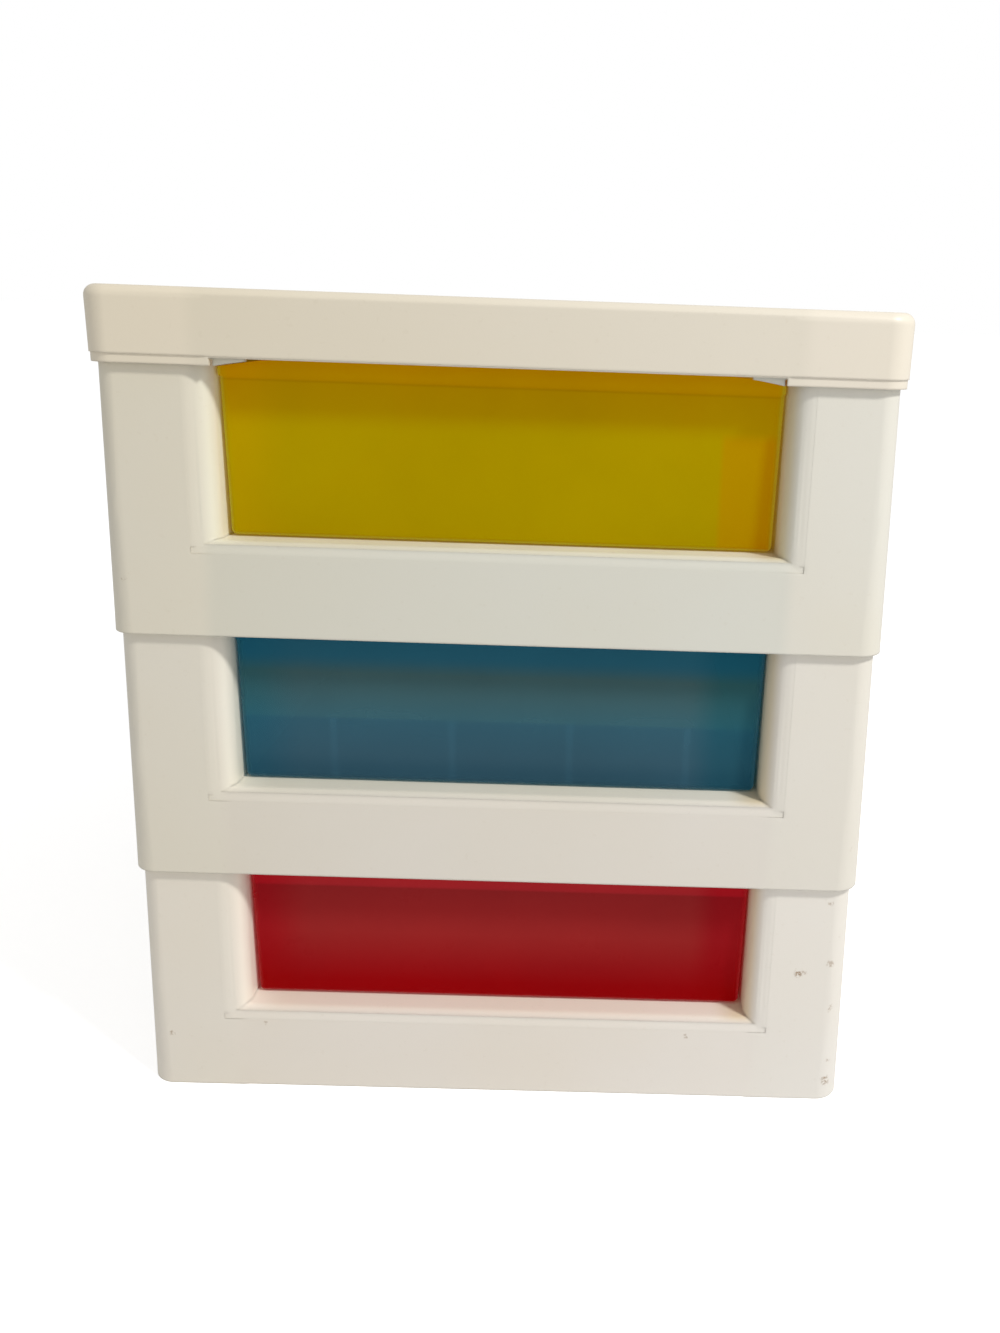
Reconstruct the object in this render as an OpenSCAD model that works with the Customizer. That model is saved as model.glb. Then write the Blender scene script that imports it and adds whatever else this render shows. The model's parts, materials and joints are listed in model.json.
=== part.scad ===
// Plastic drawer tower: three stacked frame mouldings under a cover, each
// holding one see-through drawer that slides out over its front rail.
// Millimetres. The front faces -Y, the tower stands on Z = 0 and the origin
// is the centre of the ground rectangle.

/* [Tower] */
// Width across the lower edge of a frame
tower_w = 320; // [300:1:360]
// Depth over the lower edge of a frame, front to back
tower_d = 350; // [320:1:400]
// Rise from the lower edge of one frame to the lower edge of the next
pitch = 108.7; // [100:0.1:130]
// Radius of the upright outer corners of a frame at its lower edge
corner_r = 11; // [9:0.5:16]
// Wall of a frame
wall = 2.2; // [1.8:0.1:2.8]
// Height of a frame's top that plugs into the skirt standing on it
plug_h = 8; // [5:0.5:12]
// Gap between a plugged-in top and the skirt round it
stack_gap = 0.4; // [0.2:0.1:0.8]

/* [Front opening] */
// Width of the opening between the two posts
open_w = 227; // [215:1:245]
// Height of the rail's ledge above the lower edge of its frame
ledge_h = 39.4; // [34:0.1:44]
// Radius of the edge that rolls inwards along each post
post_roll_r = 10; // [6:0.5:11]
// Radius of the edge that rolls inwards along the rail
rail_roll_r = 5; // [4:0.5:8]
// How far the rolled edge carries on inwards as a wall
return_d = 30; // [24:1:45]
// Set-back of the rail's face and the cover's apron behind the posts
face_recess = 0.3; // [0.2:0.1:1]
// Width of the slope from a post's face down to the set-back face
recess_slope = 3; // [1:0.5:6]

/* [Floor and ribs] */
// Drop from the ledge to the floor panel behind it
floor_drop = 1.2; // [1:0.1:3]
// Thickness of the ribs
rib_t = 1.8; // [1.2:0.1:2.6]
// Depth of the stiffening ribs under a floor panel
rib_h = 10; // [5:1:16]
// Longest distance between neighbouring stiffening ribs
rib_pitch = 62; // [40:1:100]
// Height of the guide ribs beside a drawer, over the floor
guide_h = 10; // [5:1:20]
// Gap between a drawer's foot and a guide rib
guide_gap = 1.2; // [0.6:0.1:3]
// Width of a runner under a drawer
runner_w = 4; // [3:0.5:10]
// Distance of a runner's middle from the side of the drawer's foot
runner_in = 22; // [12:1:40]
// Width of a corner gusset where it stands on the wall below
gusset_w = 12; // [8:1:20]
// Longest distance between neighbouring gussets along a side
gusset_pitch = 105; // [60:5:150]

/* [Drawer] */
// Set-back of a drawer's front behind the front of its frame
front_set = 13.5; // [13:0.5:26]
// Gap on each side between the drawer's rim and the opening
side_gap = 0.5; // [0.4:0.1:1.5]
// Running gap between the drawer's foot and its runners
run_gap = 0.3; // [0.2:0.1:0.6]
// Gap between the drawer's corners and the edge of the frame above
rim_gap = 1; // [0.6:0.1:3]
// Gap between the middle of a front lip and the edge above it
lip_gap = 0.35; // [0.3:0.05:0.6]
// How far each side leans out from foot to rim
drawer_draft = 1; // [0.8:0.1:4]
// Wall and floor of a drawer
drawer_wall = 1.8; // [1.4:0.1:2.6]
// Radius inside the drawer's upright corners at its foot
drawer_corner_in = 0.8; // [0.6:0.1:6]
// Radius inside the drawer between its floor and its sides
foot_in = 0.4; // [0.3:0.1:3]
// Height of the front lip at its two ends
lip_h = 3.4; // [2.5:0.1:6]
// How far the front lip stands out from the drawer's front
lip_out = 2.2; // [1:0.1:4]
// Length of the curved shoulder at each end of a front lip
shoulder_l = 30; // [12:1:50]
// Gap behind a closed drawer, up to its stop
back_gap = 0.5; // [0.3:0.1:2]
// Height of that stop over the floor
stop_h = 6; // [4:0.5:10]
// Space between the stop and the back wall of the frame
back_room = 7; // [4:1:20]
// How far a drawer slides out
travel = 250; // [150:5:260]
// Height of the catches that stop a drawer at full travel
catch_h = 3; // [2.2:0.1:4]
// Length of a catch along the drawer's side
catch_l = 9; // [5:1:20]

/* [Cover] */
// Height of the cover from its corner lips to its top
cover_h = 28.9; // [26:0.1:45]
// Wall of the cover
cover_wall = 2.4; // [2:0.1:3]
// Gap between the cover's skirt and the frame inside it
cover_gap = 0.6; // [0.3:0.1:1]
// Radius of the cover's top edge
cover_edge_r = 4.5; // [4:0.5:8]
// Height of the set-in lip along the cover's lower edge
cover_lip_h = 3.6; // [3:0.1:8]
// How far that lip is set in
cover_lip_in = 0.5; // [0.2:0.1:0.8]
// Rise of the apron's lower edge between the two corner lips
apron_rise = 2.9; // [1.5:0.1:3.5]
// Distance that a corner lip reaches past the post below it
lip_reach = 2.5; // [2:0.5:10]
// Depth of the tray in the cover's top
tray_depth = 2; // [1:0.5:4]
// Width of the cover's rim round that tray
tray_rim = 14; // [10:1:30]

/* [Hidden] */
$fn = 64;
eps = 1; // overshoot of a cut past the face that it opens
hairline = 0.05; // depth of the rolled edges' root under the wall's faces
edge_t = wall - 2 * hairline; // thickness of the rolled edges

frames = 3;
frame_h = pitch + plug_h;
lean_t = (wall + stack_gap) / pitch; // slope of a frame's outside faces
lean = atan(lean_t);
floor_z = ledge_h - floor_drop;
front_y = -tower_d / 2;

// drawer, in its own frame: its foot stands on Z = 0
drawer_z = ledge_h + run_gap;
drawer_h = pitch - rim_gap - drawer_z;
drawer_corner_r = drawer_wall + drawer_corner_in;
foot_r = drawer_wall + min(foot_in, drawer_corner_in / 2);
rim_w = open_w - 2 * side_gap;
foot_w = rim_w - 2 * drawer_draft;
rim_front = front_y + front_set;
foot_front = rim_front + drawer_draft;
foot_back = tower_d / 2 - wall - frame_h * lean_t - back_room - wall - back_gap;
foot_d = foot_back - foot_front;
foot_y = (foot_front + foot_back) / 2;
drawer_lean = atan(drawer_draft / drawer_h);
plain_rise = rim_gap - lip_gap; // crown of a lip under a frame's rail
cover_rise = plain_rise + apron_rise; // crown of the lip under the cover
rim_r = drawer_corner_r + drawer_draft;
lip_steps = 12; // straight pieces in each shoulder of a lip
catch_y = front_y + wall + travel + back_gap;

guide_x = foot_w / 2 + guide_gap;
runner_x = foot_w / 2 - runner_in;
stop_y = foot_back + back_gap;
stop_w = open_w / 3;

cover_z = frames * pitch;
cover_out = cover_gap + cover_wall - wall - stack_gap; // past a frame's edge
cover_w = tower_w + 2 * cover_out;
cover_d = tower_d + 2 * cover_out;
cover_r = corner_r + cover_out;
panel_z = cover_h - tray_depth - cover_wall; // underside of the cover's panel
notch_w = open_w - 2 * lip_reach;
catch_x = notch_w / 2 + lip_gap; // inner side of a catch, behind a corner lip

cream = "#ece4d2";
amber = "#e6c200";
azure = "#2f86a8";
ruby = "#c4202c";

// ---------------------------------------------------------------- helpers

// Block of W x D with round upright corners. children() is the upright
// section of its edge, drawn outwards from a corner's centre.
module round_block(w, d, r, z0, z1) {
    for (q = [0:3]) {
        turned = q % 2 == 1;
        cx = (q == 0 || q == 3 ? 1 : -1) * (w / 2 - r);
        cy = (q < 2 ? 1 : -1) * (d / 2 - r);
        translate([cx, cy, 0])
            rotate(q * 90)
                rotate_extrude(angle = 90) children();
        rotate(q * 90)
            translate([(turned ? d : w) / 2 - r, 0, 0])
                rotate([90, 0, 0])
                    linear_extrude((turned ? w : d) - 2 * r, center = true) children();
    }
    translate([r - w / 2, r - d / 2, z0])
        cube([w - 2 * r, d - 2 * r, z1 - z0]);
}

// Slice of a frame's leaning outside form, set in from its surface.
module frame_form(inset, z0, z1) {
    r0 = corner_r - inset - z0 * lean_t;
    r1 = corner_r - inset - z1 * lean_t;
    round_block(tower_w, tower_d, corner_r, z0, z1)
        polygon([[0, z0], [r0, z0], [r1, z1], [0, z1]]);
}

// Stands the X-Z' drawing of the front upright, leaning back with the wall.
// In the drawing X is across, Y is up the face and Z is the depth behind it.
module on_front() {
    translate([0, front_y, 0])
        rotate([-lean, 0, 0])
            mirror([0, 1, 0])
                rotate([90, 0, 0]) children();
}

// Section of the room before and beside an edge that rolls inwards. X leads
// away from the opening, Y is the depth, and the roll starts at the depth D.
module edge_room(r, d) {
    difference() {
        translate([0, -eps]) square([r, r + d + eps]);
        translate([r, r + d]) circle(r);
    }
    translate([-open_w / 2 - eps, -eps]) square([open_w / 2 + eps, return_d + 2 * eps]);
}

// The same room with the thickness of the rolled edge added. Its root reaches
// eps into the wall.
module edge_skin(r, d) {
    difference() {
        translate([0, d]) square(r);
        translate([r, r + d]) circle(r - edge_t);
    }
    translate([0, d]) square([r + eps, edge_t]);
    translate([-open_w / 2 - eps, 0]) square([open_w / 2 + eps + edge_t, return_d]);
}

// Runs a section straight along the drawing's Y.
module edge_run(length) {
    rotate([90, 0, 0])
        linear_extrude(length, center = true) children();
}

// What lies between the posts and above the rail. children(0) is the section
// beside a post and children(1) the one over the rail. EXTRA lengthens both.
module between_edges(extra) {
    intersection() {
        for (s = [-1, 1])
            translate([s * open_w / 2, frame_h / 2, 0])
                rotate(s > 0 ? 0 : 180) edge_run(frame_h + 2 * wall + extra) children(0);
        translate([0, ledge_h, 0])
            rotate(-90) edge_run(open_w + 4 * post_roll_r + extra) children(1);
    }
}

// The rolled edges, mitred where the rail meets the posts.
module rolled_edges() {
    difference() {
        between_edges(0) {
            edge_skin(post_roll_r, hairline);
            edge_skin(rail_roll_r, face_recess + hairline);
        }
        between_edges(eps) {
            edge_room(post_roll_r, hairline);
            edge_room(rail_roll_r, face_recess + hairline);
        }
    }
}

// Cutter for a shallow set-back face with sloped ends, in the front drawing.
module recess_cut(half, low, high) {
    open = half + recess_slope * (1 + eps / face_recess);
    translate([0, high, 0])
        rotate([90, 0, 0])
            linear_extrude(high - low)
                polygon([[-open, -eps], [-half, face_recess], [half, face_recess], [open, -eps]]);
}

// Places spread evenly over +-half, no further apart than step.
function spread(half, step) =
    let (n = ceil(2 * half / step)) [for (i = [0:n]) -half + 2 * half * i / n];

// One end of a drawer's crowned lip, from the rim's corner inwards, in the
// drawer's own frame.
function shoulder(rise, last) = [for (i = [0:last]) [
    rim_w / 2 - shoulder_l * i / lip_steps,
    drawer_h + rise * sin(90 * i / lip_steps)
]];

// ------------------------------------------------------------------ frame

// Webs across the opening's upper corners. Each follows the shoulder of the
// lip under the cover and leaves a slot for the catch beside it.
module corner_webs() {
    out = open_w / 2 + post_roll_r + eps;
    slot = drawer_z + drawer_h + catch_h + lip_gap;
    low = [for (p = shoulder(cover_rise, lip_steps / 2))
        if (p[0] < notch_w / 2) p + [0, drawer_z + lip_gap]];
    web = concat(
        [[low[len(low) - 1][0], frame_h + wall], [out, frame_h + wall], [out, slot], [low[0][0], slot]],
        low
    );
    for (s = [-1, 1])
        translate([0, 0, hairline])
            linear_extrude(edge_t) polygon([for (p = web) [s * p[0], p[1]]]);
}

// Outer wall with the front opened, the rolled edges round the opening and
// the webs in its upper corners.
module frame_shell() {
    difference() {
        frame_form(0, 0, frame_h);
        frame_form(wall, -eps, frame_h + eps);
        on_front()
            translate([-open_w / 2 - post_roll_r, ledge_h - rail_roll_r, -wall])
                cube([open_w + 2 * post_roll_r, frame_h, 3 * wall]);
    }
    intersection() {
        on_front() {
            rolled_edges();
            corner_webs();
        }
        translate([-tower_w / 2, front_y, 0])
            cube([tower_w, tower_d / 2, frame_h]);
    }
}

// Floor panel with its runners, guides and stop on top and ribs below.
module frame_floor() {
    run_front = front_y + return_d;
    run_back = tower_d / 2 - wall - floor_z * lean_t;
    run_l = run_back - run_front;
    frame_form(wall / 2, floor_z - wall, floor_z);
    for (s = [-1, 1]) {
        translate([s * runner_x - runner_w / 2, run_front, floor_z - wall / 2])
            cube([runner_w, run_l, floor_drop + wall / 2]);
        translate([s * guide_x + (s > 0 ? 0 : -rib_t), run_front, floor_z - wall / 2])
            cube([rib_t, run_l, guide_h + wall / 2]);
    }
    translate([-stop_w / 2, stop_y, floor_z - wall / 2])
        cube([stop_w, wall, stop_h + wall / 2]);
}

// Gussets beside the bay, from HIGH down to the height of the wall tops
// below. WALL_IN is how far they reach out from the middle.
module side_gussets(high, wall_in) {
    for (s = [-1, 1], y = spread(tower_d / 2 - gusset_pitch / 2, gusset_pitch))
        translate([0, y + rib_t / 2, 0])
            rotate([90, 0, 0])
                linear_extrude(rib_t)
                    polygon([
                        [s * guide_x, high], [s * wall_in, high],
                        [s * wall_in, plug_h], [s * (wall_in - gusset_w), plug_h]
                    ]);
}

// Grid of ribs between the heights LOW and HIGH.
module rib_grid(low, high) {
    for (x = spread(guide_x, rib_pitch))
        translate([x - rib_t / 2, -tower_d / 2, low])
            cube([rib_t, tower_d, high - low]);
    for (y = spread(tower_d / 2 - gusset_pitch / 2, gusset_pitch))
        translate([-tower_w / 2, y - rib_t / 2, low])
            cube([tower_w, rib_t, high - low]);
}

// Ribs and gussets under the floor, trimmed to end inside the outer wall.
module frame_ribs() {
    top = floor_z - wall / 2;
    intersection() {
        frame_form(wall / 2, plug_h, top);
        union() {
            rib_grid(floor_z - wall - rib_h, top);
            side_gussets(top, tower_w / 2);
        }
    }
}

// One frame moulding: outer wall, opening, floor, ribs and gussets.
module frame_unit() {
    difference() {
        union() {
            frame_shell();
            frame_floor();
            frame_ribs();
        }
        on_front() recess_cut(open_w / 2, -eps, ledge_h);
    }
}

// ------------------------------------------------------------------ cover

// Upright section of the cover's edge, set in from its outside by inset.
module cover_section(inset, z0, high) {
    r = cover_r - inset;
    edge = cover_edge_r - inset;
    translate([0, z0]) square([r, high - edge - z0]);
    translate([0, z0]) square([r - edge, high - z0]);
    intersection() {
        translate([r - edge, high - edge]) circle(edge);
        translate([r - edge, high - edge]) square(edge);
    }
}

// Band that is taken off the lower edge, so that the lip stands set in.
module lip_band_cut() {
    difference() {
        round_block(cover_w + 2 * eps, cover_d + 2 * eps, cover_r + eps, -eps, cover_lip_h)
            translate([0, -eps]) square([cover_r + eps, cover_lip_h + eps]);
        round_block(cover_w, cover_d, cover_r, -2 * eps, cover_lip_h + eps)
            translate([0, -2 * eps]) square([cover_r - cover_lip_in, cover_lip_h + 3 * eps]);
    }
}

// Form of the tray in the top, grown by GROW on every side.
module tray_form(grow) {
    r = cover_r - cover_edge_r + grow;
    low = cover_h - tray_depth - grow;
    round_block(cover_w - 2 * (tray_rim - grow), cover_d - 2 * (tray_rim - grow), r,
                low, cover_h + eps)
        polygon([
            [0, low], [r - tray_depth, low], [r, cover_h],
            [r, cover_h + eps], [0, cover_h + eps]
        ]);
}

// The cover's outside form, set in from its surface.
module cover_form(inset, z0) {
    high = cover_h - inset;
    round_block(cover_w, cover_d, cover_r, z0, high) cover_section(inset, z0, high);
}

// The cover: panel with a shallow tray, apron all round, ribs and gussets.
module cover_unit() {
    front = -cover_d / 2;
    difference() {
        union() {
            difference() {
                cover_form(0, 0);
                difference() {
                    cover_form(cover_wall, -eps);
                    tray_form(cover_wall);
                }
            }
            intersection() {
                cover_form(cover_wall / 2, plug_h);
                union() {
                    rib_grid(panel_z - rib_h, cover_h);
                    side_gussets(cover_h, cover_w / 2);
                }
            }
        }
        lip_band_cut();
        tray_form(0);
        // lower edge of the apron, relieved between the corner lips
        translate([-notch_w / 2, front - eps, -eps])
            cube([notch_w, cover_wall + 2 * eps, apron_rise + eps]);
        translate([0, front, 0])
            mirror([0, 1, 0])
                rotate([90, 0, 0])
                    recess_cut(notch_w / 2, -eps, cover_h + eps);
    }
}

// ----------------------------------------------------------------- drawer

// Upright section of a drawer's side, drawn outwards from a corner's centre:
// a rounded foot, then a side that leans out. Inset takes off the wall.
module drawer_section(inset, high) {
    r = drawer_corner_r - inset;
    edge = foot_r - inset;
    cx = r - edge * (1 - sin(drawer_lean)) / cos(drawer_lean);
    touch = [cx + edge * cos(drawer_lean), edge * (1 - sin(drawer_lean))];
    rim = [r + high * tan(drawer_lean), high];
    translate([0, inset]) {
        polygon([[0, 0], [cx, 0], [cx, edge], touch, rim, [0, high]]);
        intersection() {
            translate([cx, edge]) circle(edge);
            translate([cx, 0]) square(edge);
        }
    }
}

// Crowned outline of the front lip, from below the rim up to its crown.
module lip_outline(rise) {
    half = rim_w / 2;
    end = shoulder(rise, lip_steps);
    polygon(concat(
        [[-half, drawer_h - lip_h], [half, drawer_h - lip_h]],
        end,
        [for (i = [lip_steps:-1:0]) [-end[i][0], end[i][1]]]
    ));
}

// Plan of the front lip, which wraps the drawer's two front corners.
module lip_plan() {
    half = rim_w / 2 - rim_r;
    front = rim_front - lip_out;
    translate([-half, front]) square([2 * half, rim_r + lip_out]);
    for (s = [-1, 1]) {
        translate([s * half, front + rim_r]) circle(rim_r);
        translate([s * half - rim_r, front + rim_r]) square([2 * rim_r, lip_out]);
    }
}

// Catches on the side rims, which meet the edge above at full travel. Each
// is square in front and slopes behind, so that the drawer can be put in.
module catches() {
    width = rim_w / 2 - drawer_wall / 4 - catch_x;
    for (s = [-1, 1])
        translate([s * (catch_x + width / 2), catch_y, drawer_h])
            rotate([90, 0, 90])
                linear_extrude(width, center = true)
                    polygon([
                        [0, -drawer_wall], [0, catch_h], [catch_l / 4, catch_h],
                        [catch_l, 0], [catch_l, -drawer_wall]
                    ]);
}

// One drawer, its foot on Z = 0. Rise is the crown of its front lip.
module drawer_unit(rise) {
    difference() {
        union() {
            translate([0, foot_y, 0])
                round_block(foot_w, foot_d, drawer_corner_r, 0, drawer_h)
                    drawer_section(0, drawer_h);
            intersection() {
                translate([0, rim_front + rim_r, 0])
                    rotate([90, 0, 0])
                        linear_extrude(rim_r + 2 * lip_out) lip_outline(rise);
                linear_extrude(pitch) lip_plan();
            }
        }
        translate([0, foot_y, 0])
            round_block(foot_w, foot_d, drawer_corner_r, drawer_wall, pitch)
                drawer_section(drawer_wall, pitch - drawer_wall);
    }
    catches();
}

// --------------------------------------------------------------- sub-parts

module top_cover() {
    color(cream) translate([0, 0, cover_z]) cover_unit();
}

module upper_frame() {
    color(cream) translate([0, 0, 2 * pitch]) frame_unit();
}

module middle_frame() {
    color(cream) translate([0, 0, pitch]) frame_unit();
}

module lower_frame() {
    color(cream) frame_unit();
}

module upper_drawer() {
    color(amber) translate([0, 0, 2 * pitch + drawer_z]) drawer_unit(cover_rise);
}

module middle_drawer() {
    color(azure) translate([0, 0, pitch + drawer_z]) drawer_unit(plain_rise);
}

module lower_drawer() {
    color(ruby) translate([0, 0, drawer_z]) drawer_unit(plain_rise);
}

top_cover();
upper_frame();
middle_frame();
lower_frame();
upper_drawer();
middle_drawer();
lower_drawer();
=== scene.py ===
"""Looks of the plastic drawer tower: cream mouldings and three see-through drawers.

Each visible piece is the form of its CAD node, shaded smooth, with a procedural material.
"""
import json
import math

import bmesh
import bpy
from mathutils import Matrix, Vector


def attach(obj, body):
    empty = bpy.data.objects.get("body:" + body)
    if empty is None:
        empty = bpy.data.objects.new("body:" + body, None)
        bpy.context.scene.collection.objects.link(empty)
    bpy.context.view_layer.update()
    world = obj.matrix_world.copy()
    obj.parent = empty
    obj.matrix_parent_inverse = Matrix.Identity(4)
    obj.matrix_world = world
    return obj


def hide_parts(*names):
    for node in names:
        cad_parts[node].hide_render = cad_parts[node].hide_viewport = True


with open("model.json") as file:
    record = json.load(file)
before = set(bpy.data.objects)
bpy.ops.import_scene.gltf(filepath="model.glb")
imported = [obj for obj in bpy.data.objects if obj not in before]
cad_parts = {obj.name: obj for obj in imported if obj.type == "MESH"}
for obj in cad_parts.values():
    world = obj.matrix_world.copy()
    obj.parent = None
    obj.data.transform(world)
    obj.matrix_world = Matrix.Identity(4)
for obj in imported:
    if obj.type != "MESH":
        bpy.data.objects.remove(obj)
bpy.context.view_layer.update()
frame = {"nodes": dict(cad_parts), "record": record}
BODY = {n: b for b, nodes in frame["record"]["behaviour"]["bodies"].items() for n in nodes}

# lengths in metres, as in the part's source
PITCH = 0.1087  # from one frame's lower edge to the next one's
FRONT = -0.175  # the front face at a frame's lower edge
LEAN = 0.0239  # how far a frame's front leans back for its height
ROLL_Z = 0.0372  # the rail's rolled edge over the frame's lower edge
DRAWER_Z = 0.0397  # a drawer's foot over the lower edge of its frame
DRAWER_H = 0.068

JOIN_DIST = 6e-5  # corners of the CAD mesh nearer than this are one
SHARP_ANGLE = math.radians(24)


# ------------------------------------------------------------------ nodes
class Graph:
    """A short hand for building a material's node tree."""

    def __init__(self, name):
        self.mat = bpy.data.materials.new(name)
        self.mat.use_nodes = True
        self.tree = self.mat.node_tree
        self.shader = self.tree.nodes["Principled BSDF"]
        self.place = self.node("ShaderNodeTexCoord").outputs["Object"]

    def node(self, kind, **props):
        made = self.tree.nodes.new(kind)
        for key, value in props.items():
            setattr(made, key, value)
        return made

    def put(self, socket, value):
        """Sets a socket to a constant or links another socket to it."""
        if isinstance(value, bpy.types.NodeSocket):
            self.tree.links.new(value, socket)
        else:
            socket.default_value = value

    def look(self, name, value):
        """Sets an input of the material's main shader."""
        self.put(self.shader.inputs[name], value)

    def math(self, op, a, b=0.0, c=0.0, clamp=False):
        made = self.node("ShaderNodeMath", operation=op, use_clamp=clamp)
        for socket, value in zip(made.inputs, (a, b, c)):
            self.put(socket, value)
        return made.outputs[0]

    def vector(self, op, a, b):
        made = self.node("ShaderNodeVectorMath", operation=op)
        self.put(made.inputs[0], a)
        self.put(made.inputs["Scale" if op == "SCALE" else 1], b)
        return made.outputs["Value" if op == "DISTANCE" else "Vector"]

    def split(self, vector):
        made = self.node("ShaderNodeSeparateXYZ")
        self.put(made.inputs[0], vector)
        return made.outputs

    def noise(self, scale, detail=2.0, rough=0.5):
        made = self.node("ShaderNodeTexNoise")
        self.put(made.inputs["Vector"], self.place)
        self.put(made.inputs["Scale"], scale)
        self.put(made.inputs["Detail"], detail)
        self.put(made.inputs["Roughness"], rough)
        return made.outputs["Fac"]

    def scatter(self, scale):
        """Random offsets of about -0.5 to 0.5, the same at the same place."""
        made = self.node("ShaderNodeTexNoise")
        self.put(made.inputs["Vector"], self.place)
        self.put(made.inputs["Scale"], scale)
        return self.vector("SUBTRACT", made.outputs["Color"], (0.5, 0.5, 0.5))

    def band(self, value, low, high, start=0.0, end=1.0, smooth=True):
        """Runs from start to end while the value goes from low to high."""
        kind = "SMOOTHSTEP" if smooth else "LINEAR"
        made = self.node("ShaderNodeMapRange", interpolation_type=kind)
        for name, number in zip(("Value", "From Min", "From Max", "To Min", "To Max"),
                                (value, low, high, start, end)):
            self.put(made.inputs[name], number)
        return made.outputs[0]

    def mix(self, share, a, b):
        made = self.node("ShaderNodeMix", data_type="RGBA")
        for number, value in ((0, share), (6, a), (7, b)):
            self.put(made.inputs[number], value)
        return made.outputs[2]

    def tinted(self, colour, share, tint):
        """The colour, multiplied by the tint as far as the share goes."""
        return self.mix(share, colour, self.vector("MULTIPLY", colour, tint))

    def bump(self, height, strength, distance, normal):
        made = self.node("ShaderNodeBump")
        self.put(made.inputs["Height"], height)
        self.put(made.inputs["Strength"], strength)
        self.put(made.inputs["Distance"], distance)
        self.put(made.inputs["Normal"], normal)
        return made.outputs[0]

    def rounded(self, radius):
        """Normal that rounds the sharp edges of a moulding."""
        made = self.node("ShaderNodeBevel", samples=4)
        self.put(made.inputs["Radius"], radius)
        return made.outputs[0]


def rgba(r, g, b):
    return (r, g, b, 1.0)


# ------------------------------------------------------------ cream plastic
SPECK_TONE = rgba(0.45, 0.36, 0.22)
SCUFF_TONE = rgba(0.33, 0.22, 0.13)
# where a mask fades in: from, to, in metres
PANEL_ACROSS, PANEL_DEPTH = (0.122, 0.114), (0.010, 0.005)
WALL_ACROSS, WALL_HIGH = (0.1235, 0.1165), (0.034, 0.038)
WALL_START, WALL_END = (0.0006, 0.005), (0.036, 0.032)
# painted light on the return walls at the left and on the ledge, and warm painted shade on the return walls at
# the right
PAINTED_LIGHT_LEFT_WALLS, PAINTED_LIGHT_LEDGE, PAINTED_SHADE_RIGHT_WALLS = rgba(1.20, 1.22, 1.22), rgba(1.12, 1.12, 1.08), rgba(0.98, 0.90, 0.72)


def cream_plastic(name, fresh, aged, base, panel, opened, marks):
    """Satin polypropylene over the height base, yellowed unevenly, with scuffs at marks. Panel tints the
    set-back middle of the front, and an opened moulding has painted light on its left return walls and
    ledge and warm painted shade on its right return walls."""
    g = Graph(name)
    x, y, z = g.split(g.place)
    high_up = g.math("SUBTRACT", z, base)
    depth_in = g.math("SUBTRACT", y, g.math("MULTIPLY_ADD", high_up, LEAN, FRONT))
    off = g.math("ABSOLUTE", x)

    age = g.band(g.noise(5.0, 3.0, 0.55), 0.35, 0.7)
    # the cream turns darker and yellower towards the left
    left = g.band(x, 0.16, -0.17, 0.0, 0.55)
    colour = g.mix(g.math("ADD", g.math("MULTIPLY", age, 0.35), left, clamp=True), fresh, aged)
    speck = g.band(g.noise(420.0), 0.66, 0.74)
    colour = g.mix(g.math("MULTIPLY", speck, 0.05), colour, SPECK_TONE)
    middle = g.math("MULTIPLY", g.band(off, *PANEL_ACROSS), g.band(depth_in, *PANEL_DEPTH))
    colour = g.tinted(colour, middle, panel)
    if opened:
        painted_wall_mask = g.math("MULTIPLY", g.band(depth_in, *WALL_START), g.band(depth_in, *WALL_END))
        painted_wall_mask = g.math("MULTIPLY", painted_wall_mask, g.band(off, *WALL_ACROSS))
        painted_wall_mask = g.math("MULTIPLY", painted_wall_mask, g.band(high_up, *WALL_HIGH))
        # painted light brightens the left return walls and the ledge, painted shade darkens and warms the right
        # ones
        painted_wall_light_and_shade = g.mix(g.band(x, -0.112, -0.098), PAINTED_LIGHT_LEFT_WALLS, PAINTED_LIGHT_LEDGE)
        painted_wall_light_and_shade = g.mix(g.band(x, 0.098, 0.112), painted_wall_light_and_shade, PAINTED_SHADE_RIGHT_WALLS)
        colour = g.tinted(colour, painted_wall_mask, painted_wall_light_and_shade)

    ragged = g.vector("ADD", g.place, g.vector("SCALE", g.scatter(420.0), 0.0035))
    fine = g.band(g.noise(900.0), 0.35, 0.6)
    for across, high, size, depth in marks:
        spot = (across, LEAN * (high - base) + FRONT, high)
        away = g.vector("DISTANCE", ragged, spot)
        mark = g.math("MULTIPLY", g.band(away, size, size * 0.3, 0.0, depth), fine)
        colour = g.mix(mark, colour, SCUFF_TONE)
    g.look("Base Color", colour)
    g.look("Roughness", g.band(g.noise(38.0, 3.0, 0.6), 0.3, 0.75, 0.33, 0.47))
    g.look("Specular IOR Level", 0.45)

    grain = g.math("ADD", g.noise(1500.0), g.math("MULTIPLY", g.noise(90.0), 2.0))
    from_roll = g.math("ABSOLUTE", g.math("SUBTRACT", high_up, ROLL_Z))
    radius = g.band(from_roll, 0.010, 0.005, 0.0012, 0.0030)
    g.look("Normal", g.bump(grain, 0.25, 0.00006, g.rounded(radius)))
    return g.mat


# -------------------------------------------------------- see-through plastic
CLEAR_SHARE = 0.3
SIDE_FADE = (-0.084, -0.108)  # where the left side's tint fades in
STRIP_GAP, STRIP_TURN = 0.0513, 2.917  # distance between the upright lines, and their place
STRIP_TOP = (0.030, 0.028)


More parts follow.
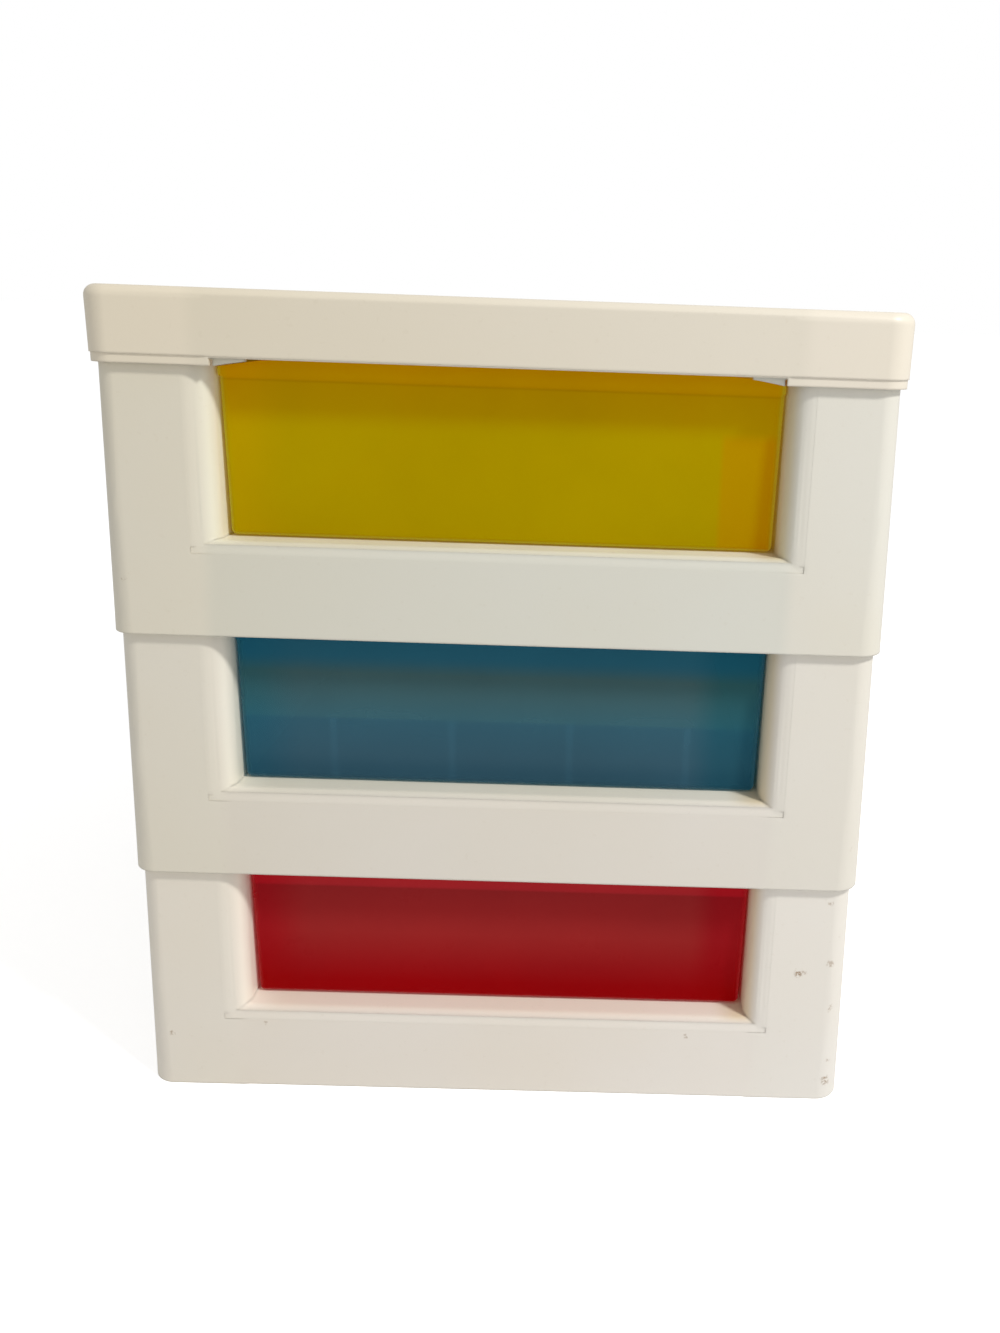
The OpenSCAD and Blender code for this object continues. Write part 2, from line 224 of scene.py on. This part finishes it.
def clear_plastic(name, body, glow, edge_glow, through, zones, left, right, shade, foot, strips):
    """Coloured see-through plastic: a little of what is behind it shows, and an emitted glow paints the light
    scattered inside it, more so at its cut edges. Zones tint it at heights over the drawer's foot, for its
    thick rim and its foot, and they also paint shade at and under the rim and light on the red rim. Left tints
    it towards its left side. The right tint is painted shade, over the two widths in shade and under its
    height, and strips adds the faint upright lines that show through its lower half."""
    g = Graph(name)
    x, y, z = g.split(g.place)
    ramp = g.node("ShaderNodeValToRGB")
    stops = ramp.color_ramp.elements
    for number, (height, tint) in enumerate(zones):
        stop = stops[number] if number < 2 else stops.new(height / DRAWER_H)
        stop.position = height / DRAWER_H
        stop.color = rgba(*(part / 2 for part in tint))  # halved to stay under 1
    g.put(ramp.inputs[0], g.band(z, foot, foot + DRAWER_H, smooth=False))
    tint = g.vector("SCALE", ramp.outputs[0], 2.0)
    tint = g.vector("SCALE", tint, g.band(g.noise(11.0, 3.0, 0.6), 0.3, 0.7, 1.04, 0.95))
    tint = g.tinted(tint, g.band(x, *SIDE_FADE), left)
    # painted shade at the right of the front, where the right post's shadow falls
    start, full, top = shade
    painted_shade = g.math("MULTIPLY", g.band(x, start, full), g.band(z, foot + top + 0.006, foot + top))
    tint = g.tinted(tint, painted_shade, right)
    if strips:
        turn = g.math("FRACT", g.math("MULTIPLY_ADD", x, 1 / STRIP_GAP, STRIP_TURN))
        line = g.band(g.math("ABSOLUTE", g.math("SUBTRACT", turn, 0.5)), 0.045, 0.015)
        line = g.math("MULTIPLY", line, g.band(z, *(foot + height for height in STRIP_TOP)))
        tint = g.vector("SCALE", tint, g.math("MULTIPLY_ADD", line, strips, 1.0))

    g.look("Base Color", g.vector("MULTIPLY", tint, body))
    g.look("Roughness", g.band(g.noise(46.0, 3.0, 0.65), 0.3, 0.75, 0.27, 0.42))
    g.look("Specular IOR Level", 0.3)
    g.look("Specular Tint", rgba(*body))
    # painted glow: the emission stands in for light scattered in the plastic, brighter on its sides and
    # undersides
    facing = g.split(g.node("ShaderNodeTexCoord").outputs["Normal"])
    edge = g.math("MAXIMUM", g.math("ABSOLUTE", facing[0]), g.math("MULTIPLY", facing[2], -1.0))
    g.look("Emission Color", g.mix(g.band(edge, 0.25, 0.7), g.vector("MULTIPLY", tint, glow), rgba(*edge_glow)))
    g.look("Emission Strength", 0.5)

    pane = g.node("ShaderNodeBsdfTransparent")
    g.put(pane.inputs["Color"], rgba(*through))
    joined = g.node("ShaderNodeMixShader")
    for socket, value in zip(joined.inputs, (CLEAR_SHARE, g.shader.outputs[0], pane.outputs[0])):
        g.put(socket, value)
    g.put(g.tree.nodes["Material Output"].inputs["Surface"], joined.outputs[0])
    return g.mat


# ----------------------------------------------------------------- pieces
def skin(node, material):
    """The node's own form with its triangles joined and its curves shaded smooth."""
    mesh = frame["nodes"][node].data.copy()
    mesh.name = node + "_skin"
    form = bmesh.new()
    form.from_mesh(mesh)
    bmesh.ops.remove_doubles(form, verts=form.verts, dist=JOIN_DIST)
    for face in form.faces:
        face.smooth = True
    for edge in form.edges:
        edge.smooth = len(edge.link_faces) != 2 or edge.calc_face_angle(0.0) < SHARP_ANGLE
    form.to_mesh(mesh)
    form.free()
    mesh.materials.clear()
    mesh.materials.append(material)
    piece = bpy.data.objects.new(node + "_skin", mesh)
    bpy.context.scene.collection.objects.link(piece)
    even = piece.modifiers.new("even_normals", "WEIGHTED_NORMAL")
    even.keep_sharp = True
    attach(piece, BODY[node])
    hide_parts(node)


# scuffs on the fronts: place across and high, radius, strength
SCUFFS = {
    "top_cover": (),
    "upper_frame": ((-0.1515, 0.2405, 0.0015, 0.8),),
    "middle_frame": ((0.1553, 0.1282, 0.0026, 0.8),),
    "lower_frame": (
        (0.1362, 0.0656, 0.0026, 0.9), (0.1380, 0.0660, 0.0024, 0.6), (0.1503, 0.0711, 0.0024, 0.55),
        (0.1523, 0.0477, 0.0022, 0.6), (0.1538, 0.0204, 0.0020, 0.7), (0.1534, 0.0094, 0.0034, 0.9),
        (0.1481, 0.1010, 0.0016, 0.6), (0.1548, 0.0851, 0.0018, 0.8), (0.0850, 0.0440, 0.0022, 0.6),
        (0.0866, 0.0313, 0.0016, 0.5), (-0.1478, 0.0261, 0.0018, 0.8), (-0.1051, 0.0328, 0.0016, 0.5),
    ),
}
# each moulding's cream where it is fresh and where it has aged, and the tint of its front's middle
CREAMS = {
    "lower_frame": (rgba(0.80, 0.77, 0.72), rgba(0.77, 0.71, 0.60), (1.0, 0.99, 0.99)),
    "middle_frame": (rgba(0.75, 0.72, 0.66), rgba(0.71, 0.66, 0.54), (0.985, 0.975, 0.985)),
    "upper_frame": (rgba(0.72, 0.70, 0.63), rgba(0.70, 0.64, 0.50), (0.93, 0.955, 0.965)),
    "top_cover": (rgba(0.77, 0.71, 0.605), rgba(0.745, 0.665, 0.515), (0.95, 0.955, 0.95)),
}
for level, (node, (fresh, aged, panel)) in enumerate(CREAMS.items()):
    opened = node != "top_cover"
    cream = cream_plastic("cream_" + node, fresh, aged, level * PITCH, panel, opened, SCUFFS[node])
    skin(node, cream)

# each drawer's frame counted from the lowest, its material and its slot
# the right tint in each is painted shade on the right of the front
DRAWERS = {
    "upper_drawer": (2, "yellow_clear", {
        "name": "amber_clear",
        "body": (0.20, 0.295, 0.0), "glow": (0.44, 0.115, 0.0), "edge_glow": (0.44, 0.28, 0.02),
        "through": (1.0, 0.75, 0.02),
        "zones": (
            (0.0, (0.95, 0.97, 1.0)), (0.045, (1.0, 1.0, 1.0)), (0.0627, (1.0, 0.97, 1.0)),
            # the dark stop at 0.0634 is a painted shadow line under the lip
            (0.0634, (0.86, 0.80, 0.8)), (0.0641, (1.10, 1.0, 1.0)), (0.066, (1.15, 1.05, 1.0)),
        ),
        "left": (1.13, 1.05, 1.0), "right": (1.12, 0.88, 1.0), "shade": (0.0875, 0.0905, 0.044),
        "strips": 0.0,
    }),
    "middle_drawer": (1, "blue_clear", {
        "name": "blue_clear",
        "body": (0.037, 0.098, 0.116), "glow": (0.013, 0.062, 0.092), "edge_glow": (0.02, 0.08, 0.11),
        "through": (0.35, 0.8, 0.95),
        "zones": (
            (0.006, (0.9, 0.78, 0.86)), (0.012, (1.15, 0.9, 0.96)), (0.0285, (1.1, 1.0, 1.06)),
            # the darker stops from 0.0555 up are the rim with painted shade on it
            (0.030, (1.35, 1.16, 1.1)), (0.050, (1.57, 0.96, 0.74)), (0.0555, (0.8, 0.96, 1.0)),
            (0.058, (0.62, 0.97, 1.07)),
        ),
        "left": (0.65, 0.98, 1.03), "right": (0.52, 0.88, 0.9), "shade": (0.080, 0.096, DRAWER_H),
        "strips": 0.12,
    }),
    "lower_drawer": (0, "red_clear", {
        "name": "red_clear",
        "body": (0.21, 0.017, 0.017), "glow": (0.325, 0.006, 0.008), "edge_glow": (0.36, 0.012, 0.016),
        "through": (1.0, 0.08, 0.1),
        "zones": (
            (0.008, (0.82, 0.05, 0.15)), (0.017, (0.84, 0.4, 0.5)), (0.033, (0.9, 1.3, 1.2)),
            # the stop at 0.0562 is painted shade under the rim, the stop at 0.0572 painted light on the rim
            (0.0562, (0.74, 1.25, 1.25)), (0.0572, (1.12, 1.5, 1.75)),
        ),
        "left": (1.02, 0.35, 0.55), "right": (0.95, 0.35, 0.55), "shade": (0.086, 0.100, DRAWER_H),
        "strips": 0.0,
    }),
}
for node, (level, slot, tints) in DRAWERS.items():
    skin(node, clear_plastic(foot=level * PITCH + DRAWER_Z, **tints))


# ------------------------------------------------------------------ stage
AIM = Vector((0.0, -0.15, 0.18))  # what the key lamp points at
KEY_AZIMUTH, KEY_ELEVATION, KEY_DISTANCE = math.radians(54), math.radians(47), 1.6
WORLD_LIGHT = 0.58
FLOOR_HALF = 30.0
FLOOR_GLOW = 0.55  # what the camera sees of the floor over its lit colour
PHOTO_H, FOCAL_PX, SENSOR = 1333, 1050, 36.0
EYE = (0.0433, -0.5863, 0.352)
EYE_YAW, EYE_PITCH, EYE_ROLL = (math.radians(angle) for angle in (-0.827, 90 - 15.177, 2.08))

key = bpy.data.lights.new("key", "AREA")
key.shape = "DISK"
key.size = 0.2
key.energy = 16
key.color = (1.0, 0.985, 0.955)
lamp = bpy.data.objects.new("key", key)
lamp.location = AIM + KEY_DISTANCE * Vector((
    math.sin(KEY_AZIMUTH) * math.cos(KEY_ELEVATION),
    -math.cos(KEY_AZIMUTH) * math.cos(KEY_ELEVATION),
    math.sin(KEY_ELEVATION)))
lamp.rotation_euler = (AIM - lamp.location).to_track_quat("-Z", "Y").to_euler()
bpy.context.scene.collection.objects.link(lamp)

# the world is white to the camera and dimmer as a light
world = bpy.data.worlds.new("studio")
world.use_nodes = True
bpy.context.scene.world = world
tree = world.node_tree
back = tree.nodes["Background"]
back.inputs["Color"].default_value = rgba(1.0, 1.0, 1.0)
back.inputs["Strength"].default_value = WORLD_LIGHT
seen = tree.nodes.new("ShaderNodeBackground")
seen.inputs["Color"].default_value = rgba(1.0, 1.0, 1.0)
path = tree.nodes.new("ShaderNodeLightPath")
blend = tree.nodes.new("ShaderNodeMixShader")
for output, socket in zip((path.outputs["Is Camera Ray"], back.outputs[0], seen.outputs[0]), blend.inputs):
    tree.links.new(output, socket)
tree.links.new(blend.outputs[0], tree.nodes["World Output"].inputs["Surface"])

floor_mesh = bpy.data.meshes.new("floor")
corners = [(FLOOR_HALF * a, FLOOR_HALF * b, 0) for a, b in ((-1, -1), (1, -1), (1, 1), (-1, 1))]
floor_mesh.from_pydata(corners, [], [(0, 1, 2, 3)])
floor = bpy.data.objects.new("floor", floor_mesh)
bpy.context.scene.collection.objects.link(floor)
pale = Graph("pale_floor")
pale.look("Base Color", rgba(0.82, 0.82, 0.82))
pale.look("Roughness", 0.8)
pale.look("Emission Color", rgba(1.0, 1.0, 1.0))
to_camera = pale.node("ShaderNodeLightPath").outputs["Is Camera Ray"]
pale.look("Emission Strength", pale.math("MULTIPLY", to_camera, FLOOR_GLOW))
floor_mesh.materials.append(pale.mat)

camera = bpy.data.cameras.new("camera")
camera.sensor_width = SENSOR
camera.sensor_fit = "AUTO"
camera.lens = FOCAL_PX / PHOTO_H * SENSOR
camera.clip_end = 100.0
camera.shift_x = -0.0897
camera.shift_y = -0.0533
eye = bpy.data.objects.new("camera", camera)
eye.matrix_world = (Matrix.Translation(EYE)
                    @ Matrix.Rotation(EYE_YAW, 4, "Z")
                    @ Matrix.Rotation(EYE_PITCH, 4, "X")
                    @ Matrix.Rotation(EYE_ROLL, 4, "Z"))
bpy.context.scene.collection.objects.link(eye)
bpy.context.scene.camera = eye
view = bpy.context.scene.view_settings
view.view_transform = "Standard"
view.look = "None"
